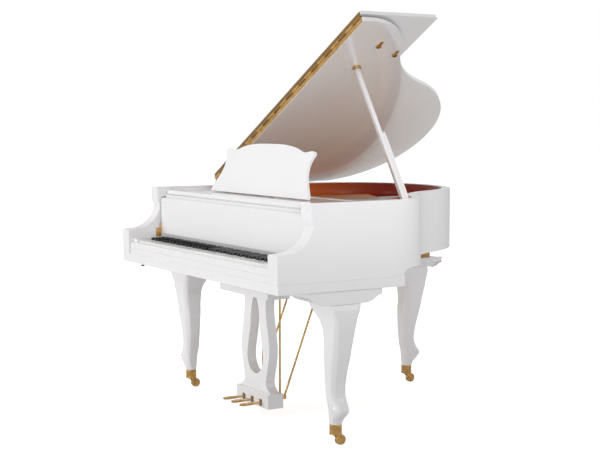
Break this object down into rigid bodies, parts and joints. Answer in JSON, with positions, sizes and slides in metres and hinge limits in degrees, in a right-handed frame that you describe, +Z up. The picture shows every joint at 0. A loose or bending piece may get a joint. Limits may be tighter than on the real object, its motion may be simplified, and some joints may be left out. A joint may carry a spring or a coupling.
{
  "type": "grand piano",
  "caption": "Baby grand piano with cabriole legs, raised lid with folded front flap, prop stick, music desk, fallboard, keys, pedal lyre with rods and brass casters",
  "frame": {"origin": "on the floor, below the middle of the box round the whole piano with its lid raised", "axes": "+Z up, +X towards the treble side, +Y towards the tail, the player sits at -Y"},
  "size_m": [1.5314, 1.4879, 1.7698],
  "materials": {
    "white_lacquer": "high-gloss white polyester lacquer over wood",
    "brass": "polished brass",
    "case_veneer": "satin amber veneer",
    "spruce": "satin varnished spruce",
    "maple": "plain maple",
    "gold_iron": "bronze-gold painted casting",
    "steel": "bright steel and copper winding",
    "damper_felt": "white felt below black lacquered wood",
    "white_keys": "glossy key tops on spruce sticks",
    "black_keys": "satin black key caps on spruce sticks"
  },
  "bodies": {
    "case": {"outer_rim": "white_lacquer", "inner_rim": "case_veneer", "under_beams": "spruce", "key_bed": "white_lacquer", "key_slip": "white_lacquer", "key_blocks_and_rail": "white_lacquer", "soundboard": "spruce", "iron_plate": "gold_iron", "pin_block": "case_veneer", "strings": "steel", "tuning_pins": "steel", "bridges": "maple", "fallboard_pivots": "brass", "rim_hinge_leaves": "brass", "prop_bracket": "brass", "leg_treble": "white_lacquer", "caster_sockets": "brass", "leg_bass": "white_lacquer", "leg_rear": "white_lacquer", "lyre": "white_lacquer", "pedal_box": "white_lacquer", "lyre_braces": "brass"},
    "lid": {"lid": "white_lacquer", "lid_hinge_leaves": "brass", "lid_fittings": "brass"},
    "flap": {"front_flap": "white_lacquer", "flap_hinge_leaf": "brass"},
    "fallboard": {"fallboard": "white_lacquer"},
    "shelf": {"music_shelf": "white_lacquer"},
    "desk": {"music_desk": "white_lacquer"},
    "strut": {"desk_strut": "brass"},
    "prop": {"prop_stick": "white_lacquer"},
    "short_prop": {"short_stick": "white_lacquer"},
    "action": {"key_frame": "maple", "hammer_action": "maple"},
    "dampers": {"dampers": "damper_felt"},
    "keys_a": {"keys_a": "white_keys"},
    "keys_a_sharp": {"keys_a_sharp": "black_keys"},
    "keys_b": {"keys_b": "white_keys"},
    "keys_c": {"keys_c": "white_keys"},
    "keys_c_sharp": {"keys_c_sharp": "black_keys"},
    "keys_d": {"keys_d": "white_keys"},
    "keys_d_sharp": {"keys_d_sharp": "black_keys"},
    "keys_e": {"keys_e": "white_keys"},
    "keys_f": {"keys_f": "white_keys"},
    "keys_f_sharp": {"keys_f_sharp": "black_keys"},
    "keys_g": {"keys_g": "white_keys"},
    "keys_g_sharp": {"keys_g_sharp": "black_keys"},
    "pedal_soft": {"pedal_soft": "brass"},
    "rod_soft": {"pedal_rod_soft": "brass"},
    "pedal_sostenuto": {"pedal_sostenuto": "brass"},
    "rod_sostenuto": {"pedal_rod_sostenuto": "brass"},
    "pedal_damper": {"pedal_damper": "brass"},
    "rod_damper": {"pedal_rod_damper": "brass"},
    "fork_treble": {"caster_fork_treble": "brass"},
    "wheel_treble": {"caster_wheel_treble": "brass"},
    "fork_bass": {"caster_fork_bass": "brass"},
    "wheel_bass": {"caster_wheel_bass": "brass"},
    "fork_rear": {"caster_fork_rear": "brass"},
    "wheel_rear": {"caster_wheel_rear": "brass"}
  },
  "joints": [
    {"name": "lid_hinge", "type": "hinge", "parent": "case", "child": "lid", "pos_m": [-0.74328, 0.156, 1], "axis": [0, -1, 0], "range_deg": [0, 20]},
    {"name": "flap_hinge", "type": "hinge", "parent": "lid", "child": "flap", "pos_m": [-0.09081, -0.2375, 1.38373], "axis": [0.8788, 0, 0.4772], "range_deg": [0, 180]},
    {"name": "fallboard_hinge", "type": "hinge", "parent": "case", "child": "fallboard", "pos_m": [0.01272, -0.5715, 0.775], "axis": [1, 0, 0], "range_deg": [0, 86]},
    {"name": "shelf_slide", "type": "slide", "parent": "case", "child": "shelf", "axis": [0, 1, 0], "range_m": [-0.04, 0.025]},
    {"name": "desk_tilt", "type": "hinge", "parent": "shelf", "child": "desk", "pos_m": [0.01272, -0.4045, 0.9886], "axis": [1, 0, 0], "range_deg": [-70, 0]},
    {"name": "strut_fold", "type": "hinge", "parent": "desk", "child": "strut", "pos_m": [0.01272, -0.37118, 1.08817], "axis": [1, 0, 0], "range_deg": [0, 140]},
    {"name": "prop_fold", "type": "hinge", "parent": "case", "child": "prop", "pos_m": [0.59572, -0.017, 0.974], "axis": [-0.2697, -0.9407, -0.2058], "range_deg": [0, 63.32]},
    {"name": "short_prop_fold", "type": "hinge", "parent": "case", "child": "short_prop", "pos_m": [0.59572, -0.017, 0.974], "axis": [-0.2697, -0.9407, -0.2058], "range_deg": [0, 63.32]},
    {"name": "key_shift", "type": "slide", "parent": "case", "child": "action", "axis": [1, 0, 0], "range_m": [0, 0.003], "stiffness_N_per_m": 3000, "springref_m": -0.004},
    {"name": "pedal_soft_press", "type": "hinge", "parent": "case", "child": "pedal_soft", "pos_m": [-0.06528, -0.405, 0.066], "axis": [1, 0, 0], "range_deg": [0, 6.5]},
    {"name": "rod_soft_lift", "type": "slide", "parent": "case", "child": "rod_soft", "axis": [0, 0, 1], "range_m": [0, 0.00693]},
    {"name": "pedal_sostenuto_press", "type": "hinge", "parent": "case", "child": "pedal_sostenuto", "pos_m": [0.01272, -0.405, 0.066], "axis": [1, 0, 0], "range_deg": [0, 6.5], "stiffness_Nm_per_rad": 6, "springref_deg": -8.59},
    {"name": "rod_sostenuto_lift", "type": "slide", "parent": "case", "child": "rod_sostenuto", "axis": [0, 0, 1], "range_m": [0, 0.00693]},
    {"name": "pedal_damper_press", "type": "hinge", "parent": "case", "child": "pedal_damper", "pos_m": [0.09072, -0.405, 0.066], "axis": [1, 0, 0], "range_deg": [0, 6.5], "stiffness_Nm_per_rad": 6, "springref_deg": -8.59},
    {"name": "rod_damper_lift", "type": "slide", "parent": "case", "child": "rod_damper", "axis": [0, 0, 1], "range_m": [0, 0.00693]},
    {"name": "damper_lift", "type": "slide", "parent": "case", "child": "dampers", "axis": [0, 0, 1], "range_m": [0, 0.005]},
    {"name": "keys_a_press", "type": "hinge", "parent": "action", "child": "keys_a", "pos_m": [0.01272, -0.492, 0.728], "axis": [1, 0, 0], "range_deg": [0, 2.5], "stiffness_Nm_per_rad": 4, "springref_deg": -8.59},
    {"name": "keys_a_sharp_press", "type": "hinge", "parent": "action", "child": "keys_a_sharp", "pos_m": [0.01272, -0.492, 0.728], "axis": [1, 0, 0], "range_deg": [0, 2.5], "stiffness_Nm_per_rad": 4, "springref_deg": -8.59},
    {"name": "keys_b_press", "type": "hinge", "parent": "action", "child": "keys_b", "pos_m": [0.01272, -0.492, 0.728], "axis": [1, 0, 0], "range_deg": [0, 2.5], "stiffness_Nm_per_rad": 4, "springref_deg": -8.59},
    {"name": "keys_c_press", "type": "hinge", "parent": "action", "child": "keys_c", "pos_m": [0.01272, -0.492, 0.728], "axis": [1, 0, 0], "range_deg": [0, 2.5], "stiffness_Nm_per_rad": 4, "springref_deg": -8.59},
    {"name": "keys_c_sharp_press", "type": "hinge", "parent": "action", "child": "keys_c_sharp", "pos_m": [0.01272, -0.492, 0.728], "axis": [1, 0, 0], "range_deg": [0, 2.5], "stiffness_Nm_per_rad": 4, "springref_deg": -8.59},
    {"name": "keys_d_press", "type": "hinge", "parent": "action", "child": "keys_d", "pos_m": [0.01272, -0.492, 0.728], "axis": [1, 0, 0], "range_deg": [0, 2.5], "stiffness_Nm_per_rad": 4, "springref_deg": -8.59},
    {"name": "keys_d_sharp_press", "type": "hinge", "parent": "action", "child": "keys_d_sharp", "pos_m": [0.01272, -0.492, 0.728], "axis": [1, 0, 0], "range_deg": [0, 2.5], "stiffness_Nm_per_rad": 4, "springref_deg": -8.59},
    {"name": "keys_e_press", "type": "hinge", "parent": "action", "child": "keys_e", "pos_m": [0.01272, -0.492, 0.728], "axis": [1, 0, 0], "range_deg": [0, 2.5], "stiffness_Nm_per_rad": 4, "springref_deg": -8.59},
    {"name": "keys_f_press", "type": "hinge", "parent": "action", "child": "keys_f", "pos_m": [0.01272, -0.492, 0.728], "axis": [1, 0, 0], "range_deg": [0, 2.5], "stiffness_Nm_per_rad": 4, "springref_deg": -8.59},
    {"name": "keys_f_sharp_press", "type": "hinge", "parent": "action", "child": "keys_f_sharp", "pos_m": [0.01272, -0.492, 0.728], "axis": [1, 0, 0], "range_deg": [0, 2.5], "stiffness_Nm_per_rad": 4, "springref_deg": -8.59},
    {"name": "keys_g_press", "type": "hinge", "parent": "action", "child": "keys_g", "pos_m": [0.01272, -0.492, 0.728], "axis": [1, 0, 0], "range_deg": [0, 2.5], "stiffness_Nm_per_rad": 4, "springref_deg": -8.59},
    {"name": "keys_g_sharp_press", "type": "hinge", "parent": "action", "child": "keys_g_sharp", "pos_m": [0.01272, -0.492, 0.728], "axis": [1, 0, 0], "range_deg": [0, 2.5], "stiffness_Nm_per_rad": 4, "springref_deg": -8.59},
    {"name": "caster_swivel_treble", "type": "hinge", "parent": "case", "child": "fork_treble", "pos_m": [0.67872, -0.423, 0.047], "axis": [0, 0, 1], "continuous": true},
    {"name": "wheel_spin_treble", "type": "hinge", "parent": "fork_treble", "child": "wheel_treble", "pos_m": [0.67872, -0.4, 0.021], "axis": [1, 0, 0], "continuous": true},
    {"name": "caster_swivel_bass", "type": "hinge", "parent": "case", "child": "fork_bass", "pos_m": [-0.65328, -0.423, 0.047], "axis": [0, 0, 1], "continuous": true},
    {"name": "wheel_spin_bass", "type": "hinge", "parent": "fork_bass", "child": "wheel_bass", "pos_m": [-0.65328, -0.4, 0.021], "axis": [1, 0, 0], "continuous": true},
    {"name": "caster_swivel_rear", "type": "hinge", "parent": "case", "child": "fork_rear", "pos_m": [-0.20028, 0.565, 0.047], "axis": [0, 0, 1], "continuous": true},
    {"name": "wheel_spin_rear", "type": "hinge", "parent": "fork_rear", "child": "wheel_rear", "pos_m": [-0.20028, 0.588, 0.021], "axis": [1, 0, 0], "continuous": true}
  ],
  "couplings": [
    {"joint": "strut_fold", "follows": "desk_tilt", "ratio": -2},
    {"joint": "pedal_soft_press", "follows": "key_shift", "rad_per_m": 37.816},
    {"joint": "rod_soft_lift", "follows": "key_shift", "ratio": 2.3067},
    {"joint": "rod_sostenuto_lift", "follows": "pedal_sostenuto_press", "m_per_rad": 0.061},
    {"joint": "rod_damper_lift", "follows": "pedal_damper_press", "m_per_rad": 0.061},
    {"joint": "damper_lift", "follows": "pedal_damper_press", "m_per_rad": 0.04406}
  ]
}
